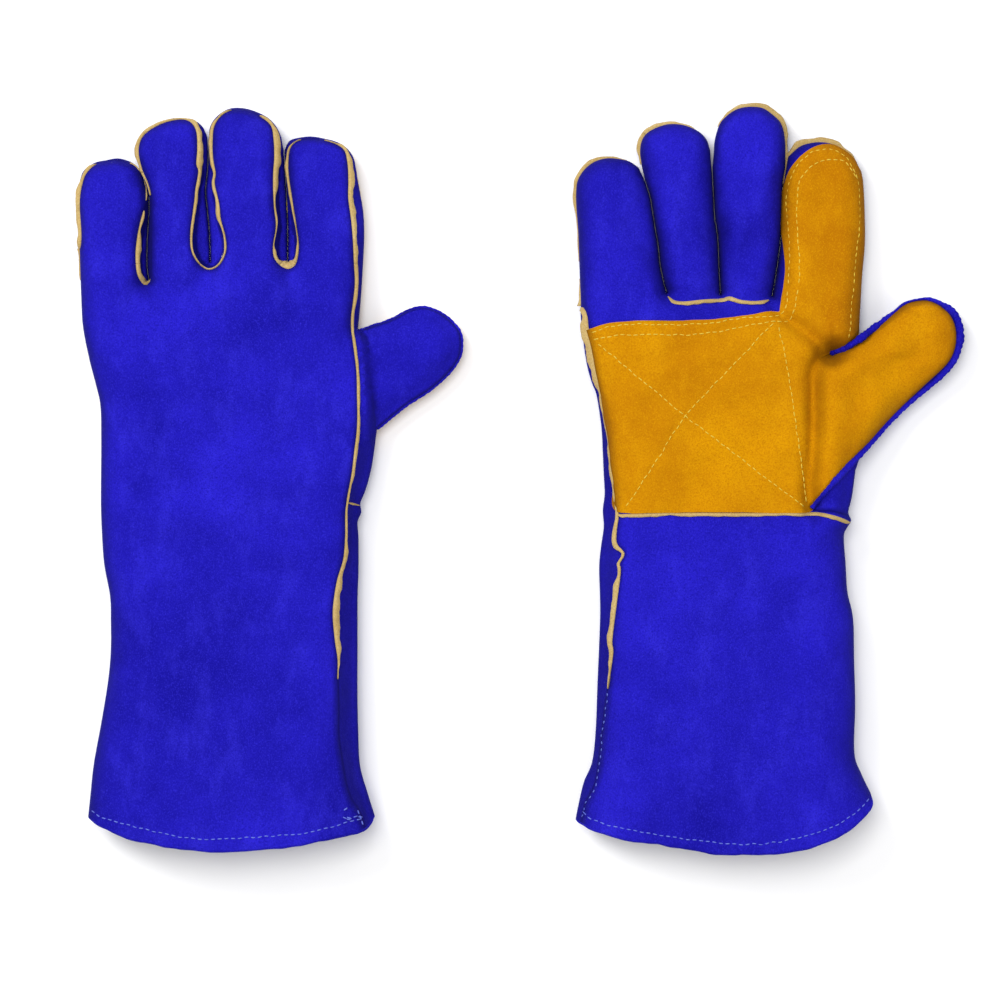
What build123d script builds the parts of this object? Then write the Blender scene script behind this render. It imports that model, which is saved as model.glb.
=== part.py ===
"""A pair of lined leather welding gauntlets, lying side by side on a bench.

The left glove lies palm down and shows its back.  The right glove lies palm up and shows its reinforced palm.
Both have a one-piece back, a gunn-cut palm (the two middle finger fronts are set in along a seam at their base),
a wing thumb, welted seams, a fleece hand lining and a canvas cuff lining.  Every leather panel is a shell of its
real thickness, so the gloves are hollow and open at the cuff.  Fingers and thumbs are separate bodies: each folds
up off the bench about a crease at its base.

Frame, in millimetres: +X across the pair towards the thumbs, +Y towards the fingertips, +Z up off the bench,
origin under the middle of the pair.
"""
import os
from math import cos, radians, sin

from build123d import *

os.makedirs("parts", exist_ok=True)

# Materials of the wall, outside to inside
LEATHER = 1.3          # split cowhide
FLEECE = 1.6           # cotton fleece that lines the hand
CANVAS = 0.8           # cotton canvas that lines the cuff
WELT = 1.1             # leather strip sewn between two panels
WELT_PROUD = 1.0       # how far a welt stands out of its seam
WELT_DEEP = 3.4        # how far a welt reaches into the glove
PATCH = 1.3            # second layer of leather over the palm and the index finger

# The hand and cuff, measured along Y from the lowest point of the hem
HAND_END = 304.0       # where the hand ends and the fingers begin
HAND_HEIGHT = 29.5     # height of the glove at the hand's end
HEM_HEIGHT = 54.0      # height of the open cuff at the hem
WRIST_SEAM = 183.0     # cross seam between the palm and the front of the cuff
HEM_RISE = 17.0        # the hem is cut to an arc, so its corners lie this far up the cuff
HEM_TURN = 15.0        # width of leather turned in at the hem
CORNER = 0.42          # corner radius of the hand's cross-section, as a share of its height
# (Y, left edge, right edge) of the glove along the hand and the cuff
HAND_STATIONS = [
    (0.0, -75.5, 83.0),
    (50.0, -69.5, 75.0),
    (115.0, -61.0, 73.0),
    (180.0, -66.0, 74.0),
    (232.0, -68.0, 81.0),
    (275.0, -75.0, 78.0),
    (HAND_END, -77.5, 76.5),
]

# Fingers and thumbs
FINGER_BASE = 306.5    # Y of the crease that a finger folds about
FINGER_HEIGHT = 28.0
FINGER_CORNER = 11.5   # corner radius of a finger's cross-section
FOLD_HEIGHT = 29.8     # the crease lies on the glove's upper side
# For each finger: X of its base, its lean to the left in degrees, its width, and Y of its tip
FINGERS = {
    "left": {
        "little": (-61.3, 0.4, 33.0, 377.0),
        "ring": (-23.4, 1.9, 32.5, 398.5),
        "middle": (14.6, 1.5, 34.5, 405.5),
        "index": (56.4, 3.6, 36.5, 389.5),
    },
    "right": {
        "little": (-59.8, 4.2, 33.0, 378.0),
        "ring": (-22.0, 4.0, 33.0, 397.5),
        "middle": (14.8, -1.2, 34.5, 406.5),
        "index": (56.0, 0.4, 36.5, 388.0),
    },
}
THUMB_TIP = (108.0, 279.0)   # centre of the thumb's round tip
THUMB_RADIUS = 21.5
THUMB_ROOT = (46.0, 182.0, 272.0)   # X, and the two ends in Y, of the crease the wing thumb springs from
THUMB_START = 85.0     # X where the free thumb begins, clear of the hand's side
THUMB_HEIGHT = 27.0
THUMB_CORNER = 10.5
THUMB_HOLE = (254.0, 54.0, 14.0)   # Y of its middle, length and height of the opening from hand to thumb

# The pair
PAIR_PITCH = 273.2     # from the left glove's own origin to the right glove's
PAIR_MIDDLE_X = 163.0  # the middle of the pair, measured from the left glove's origin
PAIR_MIDDLE_Y = 203.75
GLOVES = {
    "left": {"x": -PAIR_MIDDLE_X, "palm_up": False, "lift": PATCH, "seam": 0.70},
    "right": {"x": PAIR_PITCH - PAIR_MIDDLE_X, "palm_up": True, "lift": 0.0, "seam": 0.30},
}
FAR = 600.0            # larger than any piece, for cutting tools


def glove_height(y):
    """Height of a glove above its underside, Y millimetres up from the hem."""
    return HEM_HEIGHT + (HAND_HEIGHT - HEM_HEIGHT) * y / HAND_END


def hand_form(glove, grow):
    """The hand and cuff as one solid, grown or shrunk all round by grow."""
    with BuildPart() as form:
        for y, left, right in HAND_STATIONS:
            height = glove_height(y)
            middle = (glove["x"] + (left + right) / 2, y - PAIR_MIDDLE_Y, glove["lift"] + height / 2)
            with BuildSketch(Plane(origin=middle, x_dir=(1, 0, 0), z_dir=(0, -1, 0))):
                RectangleRounded(right - left + 2 * grow, height + 2 * grow, CORNER * height + grow)
        loft()
    return form.part


def finger_plane(glove, base_x, lean, z):
    """A level plane at height z whose origin is a finger's base and whose Y runs along the finger."""
    along = (cos(radians(lean)), sin(radians(lean)), 0)
    origin = (glove["x"] + base_x, FINGER_BASE - PAIR_MIDDLE_Y, glove["lift"] + z)
    return Plane(origin=origin, x_dir=along, z_dir=(0, 0, 1))


def finger_form(glove, finger, grow):
    """One finger as a solid with a round tip and an open-ended straight base, grown all round by grow."""
    base_x, lean, width, tip_y = finger
    half = width / 2 + grow
    straight = (tip_y - FINGER_BASE) / cos(radians(lean)) - width / 2
    with BuildPart() as form:
        with BuildSketch(finger_plane(glove, base_x, lean, -grow)):
            with BuildLine():
                Line((-half, 0), (half, 0))
                Line((half, 0), (half, straight))
                ThreePointArc((half, straight), (0, straight + half), (-half, straight))
                Line((-half, straight), (-half, 0))
            make_face()
        extrude(amount=FINGER_HEIGHT + 2 * grow)
        base = form.faces().sort_by(Axis.Y)[0]
        rims = form.faces().filter_by(Axis.Z).edges() - base.edges()
        fillet(rims, FINGER_CORNER + grow)
    return form.part


def thumb_form(glove, grow):
    """The free part of the wing thumb: a wedge with a round tip, cut off clear of the hand, grown by grow."""
    root_x, low, high = THUMB_ROOT
    plane = Plane(origin=(glove["x"], -PAIR_MIDDLE_Y, glove["lift"] - grow))
    with BuildPart() as form:
        with BuildSketch(plane):
            with Locations(THUMB_TIP):
                Circle(THUMB_RADIUS + grow)
            with Locations((root_x, low - grow), (root_x, high + grow)):
                Circle(0.5)
            make_hull()
        extrude(amount=THUMB_HEIGHT + 2 * grow)
        split(bisect_by=Plane.YZ.offset(glove["x"] + THUMB_START))
        base = form.faces().sort_by(Axis.X)[0]
        rims = form.faces().filter_by(Axis.Z).edges() - base.edges()
        fillet(rims, THUMB_CORNER + grow)
    return form.part


def between(outer, inner):
    """The wall between two forms, one inside the other."""
    with BuildPart() as wall:
        add(outer)
        add(inner, mode=Mode.SUBTRACT)
    return wall.part


def hand_seam(glove, offset):
    """The sloping plane of the side seams, offset upwards; its normal points up."""
    low = glove["lift"] + glove["seam"] * glove_height(0)
    high = glove["lift"] + glove["seam"] * glove_height(HAND_END)
    slope = Vector(0, HAND_END, high - low)
    normal = Vector(1, 0, 0).cross(slope)
    return Plane(origin=(glove["x"], -PAIR_MIDDLE_Y, low), x_dir=(1, 0, 0), z_dir=normal).offset(offset)


def level_seam(glove, height, offset):
    """The level plane of a finger's or a thumb's seam, offset upwards."""
    return Plane.XY.offset(glove["lift"] + glove["seam"] * height + offset)


def palm_side(glove):
    """Which side of a seam the palm lies on."""
    return Keep.TOP if glove["palm_up"] else Keep.BOTTOM


def back_side(glove):
    """Which side of a seam the back of the hand lies on."""
    return Keep.BOTTOM if glove["palm_up"] else Keep.TOP


def panel(wall, glove, seam, side):
    """One leather panel: the part of a wall that lies on one side of the seam, less half the welt."""
    half_welt = WELT / 2 if side is Keep.TOP else -WELT / 2
    with BuildPart() as half:
        add(wall)
        split(bisect_by=seam(glove, half_welt), keep=side)
    return half.part


def welt_strip(wall, glove, seam):
    """The strip of leather caught in a seam: the part of a thick wall within the welt's thickness."""
    with BuildPart() as strip:
        add(wall)
        split(bisect_by=seam(glove, WELT / 2), keep=Keep.BOTTOM)
        split(bisect_by=seam(glove, -WELT / 2), keep=Keep.TOP)
    return strip.part


def stretch(y_low, y_high):
    """A block that holds everything between two heights up the glove, measured from the hem."""
    middle = (y_low + y_high) / 2 - PAIR_MIDDLE_Y
    with BuildPart(mode=Mode.PRIVATE) as block:
        with Locations((0, middle, 0)):
            Box(2 * FAR, y_high - y_low, FAR)
    return block.part


def above_hem(glove, inset):
    """A block that holds everything above the hem's arc, raised by inset."""
    left, right = HAND_STATIONS[0][1] - 20, HAND_STATIONS[0][2] + 20
    with BuildPart(mode=Mode.PRIVATE) as block:
        with BuildSketch(Plane(origin=(glove["x"], inset - PAIR_MIDDLE_Y, -FAR / 2))):
            with BuildLine():
                corner = HEM_RISE * 1.55
                ThreePointArc((left, corner), ((left + right) / 2, 0), (right, corner))
                Line((right, corner), (right, FAR))
                Line((right, FAR), (left, FAR))
                Line((left, FAR), (left, corner))
            make_face()
        extrude(amount=FAR)
    return block.part


def thumb_hole(glove):
    """The opening in the hand's side that leads into the thumb."""
    middle_y, length, height = THUMB_HOLE
    with BuildPart(mode=Mode.PRIVATE) as hole:
        with Locations((glove["x"] + THUMB_START, middle_y - PAIR_MIDDLE_Y, glove["lift"] + THUMB_HEIGHT / 2)):
            Box(40, length, height)
    return hole.part


def save(part, name):
    """Labels a finished piece and writes it to its own file."""
    part.label = name
    export_step(part, f"parts/{name}.step")


def make_hand(side, glove):
    """The leather, welts, patch and linings of one hand and cuff, which all move together."""
    outer = hand_form(glove, 0)
    leather = between(outer, hand_form(glove, -LEATHER))
    palm_leather = panel(leather, glove, hand_seam, palm_side(glove))
    hem = above_hem(glove, 0)
    hole = thumb_hole(glove)

    # The back of the hand and cuff is one panel, from the fingers to the hem.
    with BuildPart() as back:
        add(panel(leather, glove, hand_seam, back_side(glove)))
        add(hem, mode=Mode.INTERSECT)
        add(hole, mode=Mode.SUBTRACT)
    save(back.part, f"{side}_back")

    with BuildPart() as palm:
        add(palm_leather)
        add(stretch(WRIST_SEAM + WELT / 2, HAND_END - WELT), mode=Mode.INTERSECT)
        add(hole, mode=Mode.SUBTRACT)
    save(palm.part, f"{side}_palm")

    with BuildPart() as cuff_front:
        add(palm_leather)
        add(stretch(-WELT, WRIST_SEAM - WELT / 2), mode=Mode.INTERSECT)
        add(hem, mode=Mode.INTERSECT)
    save(cuff_front.part, f"{side}_cuff_front")

    # Side seams: one welt down each side of the hand and cuff.
    thick = between(hand_form(glove, WELT_PROUD), hand_form(glove, -WELT_DEEP))
    with BuildPart() as seam_welts:
        add(welt_strip(thick, glove, hand_seam))
        add(stretch(-WELT, HAND_END), mode=Mode.INTERSECT)
        add(hem, mode=Mode.INTERSECT)
        add(hole, mode=Mode.SUBTRACT)
    save(seam_welts.part, f"{side}_seam_welts")

    # Cross seams: at the wrist, and at the base of the middle and ring fingers.
    cross_wall = panel(between(hand_form(glove, WELT_PROUD), hand_form(glove, -LEATHER)), glove, hand_seam,
                       palm_side(glove))
    first, last = FINGERS[side]["ring"], FINGERS[side]["middle"]
    with BuildPart(mode=Mode.PRIVATE) as finger_bases:
        with Locations((glove["x"] + (first[0] + last[0]) / 2, HAND_END - WELT / 2 - PAIR_MIDDLE_Y, 0)):
            Box(last[0] - first[0] + 26, WELT, FAR)
    with BuildPart() as cross_welts:
        add(cross_wall)
        add(stretch(WRIST_SEAM - WELT / 2, WRIST_SEAM + WELT / 2) + finger_bases.part, mode=Mode.INTERSECT)
    save(cross_welts.part, f"{side}_cross_welts")

    # Second layer of leather over the palm, from the wrist seam to the fingers and out to the thumb's crease.
    patch_wall = panel(between(hand_form(glove, PATCH), outer), glove, hand_seam, palm_side(glove))
    with BuildPart(mode=Mode.PRIVATE) as patch_cut:
        with BuildSketch(Plane(origin=(glove["x"], -PAIR_MIDDLE_Y, -FAR / 2))):
            with BuildLine():
                Polyline(
                    (-84, WRIST_SEAM + WELT), (50, WRIST_SEAM + WELT), (52, 262), (62, 273), (90, 280),
                    (90, HAND_END - WELT), (36, HAND_END - WELT), (29, 293), (-17, 287), (-84, 284),
                    close=True,
                )
            make_face()
        extrude(amount=FAR)
    with BuildPart() as palm_patch:
        add(patch_wall)
        add(patch_cut.part, mode=Mode.INTERSECT)
        add(hole, mode=Mode.SUBTRACT)
    save(palm_patch.part, f"{side}_palm_patch")

    # Linings: fleece in the hand, canvas in the cuff, and the leather that is turned in over the canvas at the hem.
    fleece = between(hand_form(glove, -LEATHER - 0.05), hand_form(glove, -LEATHER - FLEECE))
    with BuildPart() as hand_lining:
        add(fleece)
        add(stretch(WRIST_SEAM + 2, HAND_END), mode=Mode.INTERSECT)
        add(hole, mode=Mode.SUBTRACT)
        add(welt_room(glove), mode=Mode.SUBTRACT)
    save(hand_lining.part, f"{side}_hand_lining")

    canvas = between(hand_form(glove, -LEATHER - 0.05), hand_form(glove, -LEATHER - CANVAS))
    with BuildPart() as cuff_lining:
        add(canvas)
        add(stretch(-WELT, WRIST_SEAM + 1), mode=Mode.INTERSECT)
        add(above_hem(glove, 1), mode=Mode.INTERSECT)
        add(welt_room(glove), mode=Mode.SUBTRACT)
    save(cuff_lining.part, f"{side}_cuff_lining")

    turned = between(hand_form(glove, -LEATHER - CANVAS - 0.05), hand_form(glove, -2 * LEATHER - CANVAS))
    with BuildPart() as hem_turn:
        add(turned)
        add(above_hem(glove, 0), mode=Mode.INTERSECT)
        add(above_hem(glove, HEM_TURN), mode=Mode.SUBTRACT)
        add(welt_room(glove), mode=Mode.SUBTRACT)
    save(hem_turn.part, f"{side}_hem_turn")


def welt_room(glove):
    """The space that the side welts take inside the glove, with a little clearance."""
    room = between(hand_form(glove, WELT_PROUD), hand_form(glove, -WELT_DEEP - 0.1))
    with BuildPart() as space:
        add(room)
        split(bisect_by=hand_seam(glove, WELT / 2 + 0.1), keep=Keep.BOTTOM)
        split(bisect_by=hand_seam(glove, -WELT / 2 - 0.1), keep=Keep.TOP)
    return space.part


def make_digit(name, glove, form, height, lining_of):
    """The back, front, welt and lining of one finger or thumb, which all move together."""
    def seam(_, offset):
        return level_seam(glove, height, offset)

    leather = between(form(0), form(-LEATHER))
    save(panel(leather, glove, seam, back_side(glove)), f"{name}_back")
    save(panel(leather, glove, seam, palm_side(glove)), f"{name}_front")
    strip = welt_strip(between(form(WELT_PROUD), form(-WELT_DEEP)), glove, seam)
    save(strip, f"{name}_{lining_of}")
    with BuildPart() as lining:
        add(between(form(-LEATHER - 0.05), form(-LEATHER - FLEECE)))
        with BuildPart(mode=Mode.PRIVATE) as room:
            add(between(form(WELT_PROUD), form(-WELT_DEEP - 0.1)))
            split(bisect_by=seam(glove, WELT / 2 + 0.1), keep=Keep.BOTTOM)
            split(bisect_by=seam(glove, -WELT / 2 - 0.1), keep=Keep.TOP)
        add(room.part, mode=Mode.SUBTRACT)
    save(lining.part, f"{name}_lining")


for side, glove in GLOVES.items():
    make_hand(side, glove)
    for finger_name, finger in FINGERS[side].items():
        make_digit(
            f"{side}_{finger_name}", glove, lambda grow, finger=finger: finger_form(glove, finger, grow),
            FINGER_HEIGHT, "welt",
        )
    make_digit(f"{side}_thumb", glove, lambda grow: thumb_form(glove, grow), THUMB_HEIGHT, "piping")

    # The palm's second layer runs on up the front of the index finger.
    index = FINGERS[side]["index"]
    with BuildPart() as index_patch:
        add(between(finger_form(glove, index, PATCH), finger_form(glove, index, 0)))
        edge = FINGER_HEIGHT - FINGER_CORNER if glove["palm_up"] else FINGER_CORNER
        split(bisect_by=Plane.XY.offset(glove["lift"] + edge), keep=palm_side(glove))
    save(index_patch.part, f"{side}_index_patch")
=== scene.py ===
import math

import bpy
import numpy as np
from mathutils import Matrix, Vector
from mathutils.geometry import delaunay_2d_cdt
from mathutils.kdtree import KDTree


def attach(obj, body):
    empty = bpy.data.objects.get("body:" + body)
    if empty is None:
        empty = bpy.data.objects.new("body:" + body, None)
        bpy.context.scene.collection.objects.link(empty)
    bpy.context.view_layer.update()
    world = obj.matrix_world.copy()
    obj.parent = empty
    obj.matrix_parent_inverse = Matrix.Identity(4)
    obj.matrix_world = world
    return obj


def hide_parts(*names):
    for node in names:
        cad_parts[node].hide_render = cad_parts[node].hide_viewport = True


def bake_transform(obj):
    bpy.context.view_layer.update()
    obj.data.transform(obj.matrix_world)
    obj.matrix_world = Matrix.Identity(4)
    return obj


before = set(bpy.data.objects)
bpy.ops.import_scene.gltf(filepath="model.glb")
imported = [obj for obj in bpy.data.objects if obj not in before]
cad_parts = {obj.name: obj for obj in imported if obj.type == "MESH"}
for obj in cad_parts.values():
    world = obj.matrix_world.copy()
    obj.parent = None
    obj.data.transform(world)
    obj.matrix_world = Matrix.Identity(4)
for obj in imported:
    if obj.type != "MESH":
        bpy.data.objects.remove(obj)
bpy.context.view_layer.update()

# ----------------------------------------------------------------------------------------------------------
# Suede panels.  Each glove is sewn from split cowhide: one back that runs down to the hem, a palm, a cuff
# front, a front for each finger, and a wing thumb with a golden front.  The panels are sewn inside out,
# with a welt in each seam, and then turned, so every edge is a soft fold.
# ----------------------------------------------------------------------------------------------------------
# The pattern of each glove, in millimetres from its own origin: X from the middle of the palm, Y up from
# the lowest point of the hem.  "upper" is the seam round the panels facing up: the left glove lies palm down
# and the right glove palm up.
LEFT = {
    "name": "left",
    "x": -163.0,
    "split": 319.0,
    "thumb_blend": (84.0, 104.0),
    "up_side": [
        (-73, 17.5), (-72, 27), (-70, 46), (-66, 68.5), (-62.5, 90.5), (-61, 107), (-61, 124),
        (-61.5, 138), (-65, 157.5), (-66.5, 184.5), (-66.5, 224.5), (-67, 242), (-69.5, 253.5), (-73, 267),
        (-76.5, 284.5), (-77.5, 299.5), (-78.5, 326.5), (-79, 346),
    ],
    "little": [
        (-80.5, 354), (-79, 362.5), (-76.5, 370.5), (-70.5, 375), (-64, 376.5), (-57.5, 377.5),
        (-50.5, 375.5), (-45.5, 371.5),
    ],
    "gap_1": [(-43, 365), (-40.5, 354), (-41, 340.5), (-41.5, 329.5), (-41.5, 318.5), (-40.5, 310)],
    "ring": [
        (-45, 370.5), (-47.5, 377.5), (-47.5, 382.5), (-46, 389), (-41.5, 393.5), (-34.5, 397.5),
        (-27.5, 399.5), (-21, 399.5), (-15, 398), (-11, 394.5), (-8.7, 389.5),
    ],
    "gap_2": [
        (-8, 381.5), (-8.5, 370.5), (-9.5, 359.5), (-8.5, 348.5), (-7.5, 337.5), (-7, 326.5), (-7, 320.5),
    ],
    "middle": [
        (-7.3, 387), (-7.5, 393), (-5.5, 398), (-1, 402.5), (4.5, 405), (11.5, 405), (18.5, 403),
        (25, 399.5), (29.5, 394.5), (32, 389),
    ],
    "gap_3": [
        (33.5, 381.5), (34, 371.5), (34.5, 362.5), (35, 351.5), (35.5, 340.5), (35.5, 329.5), (35.5, 320),
    ],
    "index": [
        (34.7, 384.5), (37, 387.5), (42.5, 389), (48.5, 389.5), (55, 388.5), (62.5, 386.5), (68, 383),
        (71.5, 378), (73, 371.5), (74, 365), (75.5, 357), (77, 347.5), (77.5, 336), (77, 322.5), (76, 305),
        (75, 292.5), (74, 284),
    ],
    "thumb": [
        (76.5, 283.5), (80, 285), (92, 289), (100.5, 293.5), (106.5, 295.5), (112.5, 295.5), (120, 292.5),
        (126, 287.5), (130, 282.5), (131, 276.5), (130.5, 270), (127.5, 264), (121.5, 257), (112.5, 249.5),
        (101.5, 242.5), (92, 235), (84.5, 228.5),
    ],
    "down_side": [
        (83.3, 219), (81.5, 207.5), (78.5, 196), (75.5, 188.5), (76, 183.5), (74, 178), (74.5, 168.5),
        (74.5, 152), (74, 135), (74, 107), (74, 84.5), (74.5, 63), (75.5, 45), (80, 29), (83.5, 18),
    ],
    "hem": [
        (78.5, 11), (67, 8.5), (51, 5), (28.5, 2), (2.5, 0.5), (-22, 2), (-42, 5.5), (-61, 11.5),
        (-71, 16),
    ],
    "thumb_crease": [(76, 283), (79.5, 277), (80.5, 268.5), (81.5, 253.5), (83, 242), (84, 229)],
    "upper": [
        (-95, -9), (-95, 319), (-78.5, 326.5), (-78, 349.5), (-77, 361), (-74, 369), (-68, 374.5),
        (-62, 375.6), (-57, 376), (-49.5, 374), (-45.3, 370), (-43, 364.5), (-41.8, 357), (-42, 351.5),
        (-44.5, 340.5), (-46, 331), (-46.5, 322.5), (-45.5, 313), (-42.5, 308), (-40, 309.4),
        (-38.5, 316.5), (-38.6, 331), (-38.9, 345.5), (-39, 355.5), (-40.5, 362.5), (-44.2, 371.5),
        (-46, 381), (-44.5, 387.5), (-40.5, 392), (-34, 395.8), (-27, 398), (-21, 398.5), (-16.5, 396.5),
        (-13.5, 391), (-13, 382), (-13.5, 373.5), (-12.5, 369.5), (-14, 360), (-14.5, 354), (-15.5, 345.5),
        (-16.5, 336), (-16, 326.5), (-12.5, 319.5), (-7, 316), (-1, 318.5), (2.5, 325.5), (2, 334),
        (-0.5, 343), (-1.5, 352), (-4, 362.5), (-3.5, 368.5), (-5, 376), (-5.5, 385.5), (-4.5, 394.5),
        (-0.5, 400.5), (5, 403.5), (11.5, 403.7), (18.5, 401.5), (26.5, 395.5), (28.5, 387.5), (29, 377.5),
        (28.5, 368.5), (28.5, 359), (29, 349.5), (30, 339.5), (28.5, 329), (29, 322.5), (32, 318.5),
        (36.5, 316.6), (40.5, 319.5), (42, 329), (40.5, 340.5), (39, 349.5), (37.3, 360), (36, 368.5),
        (36, 376), (37, 382), (40, 385.8), (44.5, 387.4), (53.5, 387.4), (61.5, 385.3), (67, 381.5),
        (69, 373.5), (69.5, 363.5), (69.5, 354.5), (71, 343), (72, 331.5), (72.5, 320), (73, 308.5),
        (72, 298), (71, 290), (71, 283), (72, 276.5), (74, 261.5), (74.5, 247.5), (74.5, 230.5),
        (73, 216.5), (71.5, 204), (69, 191), (68, 181), (68, 170.5), (67, 158), (63.5, 145.5),
        (61.5, 129.5), (62.5, 115), (64, 104), (64, 94), (64.5, 79), (64.5, 63), (66, 51.5), (68.5, 37),
        (71.5, 28), (75.5, 21.5), (78.5, 11.5), (79, -9),
    ],
}
RIGHT = {
    "name": "right",
    "x": 110.2,
    "split": 307.0,
    "thumb_blend": (78.0, 102.0),
    "up_side": [
        (-80, 16), (-78.5, 23.5), (-75.5, 36), (-71, 47), (-69, 64.5), (-68, 89.5), (-66.5, 127.5),
        (-67, 152.5), (-66, 164.5), (-64.5, 175.5), (-65, 184.5), (-64, 193.5), (-64.5, 204.5), (-65, 216),
        (-65.5, 227), (-66.5, 236), (-68.5, 248), (-71, 254.5), (-73.5, 263.5), (-75.5, 276), (-77, 290.5),
        (-77, 298), (-77.5, 311.5), (-78, 325), (-78.5, 338), (-79.5, 352),
    ],
    "little": [
        (-79.5, 360.5), (-78.5, 366), (-75, 371.5), (-70, 375.5), (-64, 377.5), (-57.5, 377.5),
        (-50.5, 376), (-45.2, 372.5),
    ],
    "gap_1": [
        (-42, 366), (-39, 356.5), (-37.5, 347.5), (-36, 338), (-34.5, 329.5), (-33.5, 319.5),
        (-31.5, 309.5), (-30, 304),
    ],
    "ring": [
        (-43.5, 373), (-44.5, 381.5), (-43, 388.5), (-38.5, 393), (-31, 396), (-25, 396.5), (-19, 395.5),
        (-12.5, 392.5), (-8, 388), (-6, 382),
    ],
    "gap_2": [
        (-5, 372.5), (-4.5, 364), (-4, 354), (-3.5, 345), (-2, 336), (-1.5, 325), (-1, 313.5), (-0.5, 303),
    ],
    "middle": [
        (-4, 380.5), (-3.5, 387.5), (-1, 396), (2, 400), (6.5, 403.5), (11.5, 405.5), (18, 406),
        (23.5, 405), (28.5, 401.5), (32.5, 397.5), (34.5, 392), (35.3, 385), (35.3, 380),
    ],
    "gap_3": [
        (35.5, 373), (34, 363), (33.5, 352), (33, 338), (32, 327.5), (30.5, 317), (29, 308), (28, 302),
    ],
    "index": [
        (36.7, 378.5), (43, 384), (49, 386), (55.5, 386.5), (62.5, 385), (68, 381.5), (73, 376),
        (76, 368.5), (77, 358.5), (77.5, 345), (77.5, 330.5), (76, 313.5), (75, 297), (74.3, 286),
        (74, 281),
    ],
    "thumb_gap": [(73.5, 278.5), (68, 274), (61, 271)],
    "thumb": [
        (77, 281), (80, 282.7), (87.5, 288.5), (94.5, 294), (100, 298.5), (107, 300.5), (113.5, 301),
        (121, 298.5), (128, 293.5), (131.5, 285), (132, 276.5), (129.5, 266.5), (122.5, 258), (110, 248.5),
        (97.5, 237.5), (84.5, 223.5), (75.5, 212.5),
    ],
    "down_side": [
        (73.5, 206.5), (71.5, 192), (69.5, 183.5), (71, 179), (68.5, 174.5), (67, 170), (68, 155),
        (69, 140), (72, 125), (72.5, 102), (73, 77.5), (72.5, 52), (76, 41), (81.5, 29.5),
    ],
    "hem": [
        (79.5, 22.5), (71, 14.5), (55.5, 5.5), (37, 0.5), (18, -1.5), (-1, -1), (-32, 3.5), (-57, 7.5),
        (-76, 13),
    ],
    "thumb_crease": [
        (60, 271), (52.5, 266.5), (49.5, 258.5), (49, 239), (48.5, 218), (46.5, 197.5), (48.5, 185),
    ],
    "upper": [
        (-79, -12), (-77, 14), (-74.5, 26), (-69.5, 37), (-66.5, 56.5), (-64.5, 75.5), (-62.5, 89),
        (-60, 107), (-60.5, 113.5), (-58.5, 131), (-56, 151), (-56.5, 155.5), (-54, 161), (-58, 166.5),
        (-58, 174), (-57, 183), (-58.5, 199), (-60, 210), (-61.5, 224.5), (-64, 238), (-65.5, 249),
        (-68, 260.5), (-70, 271.5), (-73, 283), (-75.8, 295), (-90, 308), (-90, 425), (95, 425), (95, 310),
        (82, 297), (75.3, 280.3), (68, 275), (61, 271.8), (66, 272.3), (74.5, 277), (84.5, 285.5),
        (88.5, 288.6), (95.5, 294), (100.5, 297.5), (107, 299), (113.5, 299), (121, 295), (126, 289),
        (128, 282), (127.5, 273.5), (123, 264.5), (110, 252), (97.5, 240), (84.5, 226), (73.5, 214),
        (59.5, 199.5), (48.5, 186), (60, 184), (71, 181.5), (90, 179), (95, -12),
    ],
}
# The golden second layer: its outline, and its rows of stitches.  The panels' mesh follows both.
PATCH = [
    (-73, 283), (-60.5, 286.5), (-44, 287.7), (-21.5, 287.7), (-5, 288.3), (12, 290.5), (24, 292),
    (30.5, 292.5), (32, 296), (34, 307), (35, 317), (34.5, 327.5), (33.7, 338), (33.3, 347.5), (34, 356.5),
    (36.5, 367), (40.5, 374.5), (46.5, 380), (53, 383), (60, 383.5), (66.5, 380.5), (71.8, 376),
    (75.6, 370), (90, 362), (90, 300), (76, 280.5), (68, 275.3), (61, 271.4), (52.5, 266.5), (49.5, 258.5),
    (49, 239), (48.5, 218), (46.5, 197.5), (47.5, 183.6), (10, 183.4), (-34, 183.4), (-57, 184),
    (-58.5, 199), (-60, 210), (-61.5, 224.5), (-64, 238), (-65.5, 249), (-68, 260.5), (-70, 271.5),
]
PATCH_ROWS = [
    [
        (-71.8, 281), (-63, 284), (-55, 285.4), (-38, 285.6), (-22, 285.4), (-5, 286.5), (12, 289.3),
        (26, 289.9), (32, 291.8), (34.4, 296.2), (36.1, 313), (36.6, 329.5), (35.4, 346.4), (35.8, 360),
        (39.9, 371.2), (45.6, 377.6), (52.5, 381.2), (60, 381.3), (66, 378.3), (70.5, 373), (73.8, 366),
        (75, 356.2), (74.7, 339.3), (72.7, 322.6), (71.4, 306), (69.4, 286.3), (68.2, 277),
    ],
    [
        (-70.7, 277.6), (-55, 279.8), (-38.4, 280.1), (-22, 280), (-5, 281.4), (12, 284.8), (27.3, 287.4),
        (35.5, 287.6), (38.3, 293), (40.8, 306), (41.5, 322.6), (40.4, 343.7), (40.8, 358), (43, 366),
        (48.4, 372), (54, 374.8), (63.8, 375.4), (69.4, 372.2), (73.2, 366),
    ],
    [(-68.5, 275.4), (-45, 255.8), (-20.5, 235.8), (12, 210.6), (45.4, 185.2)],
    [(27.3, 286.5), (4, 262), (-20.5, 235.8), (-38, 209), (-54.1, 184.6)],
    [(30.2, 284.8), (35.2, 260.3), (39.2, 232.4), (45.6, 189)],
]
LEFT["hem_row"] = [
    (-70.6, 21.2), (-61, 17.5), (-44, 13.7), (-25, 9.6), (-10.7, 7.4), (0.5, 7.5), (22.8, 8.5), (45, 10.2),
    (61.7, 13.7), (70.7, 16.2), (78.5, 17),
]
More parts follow.
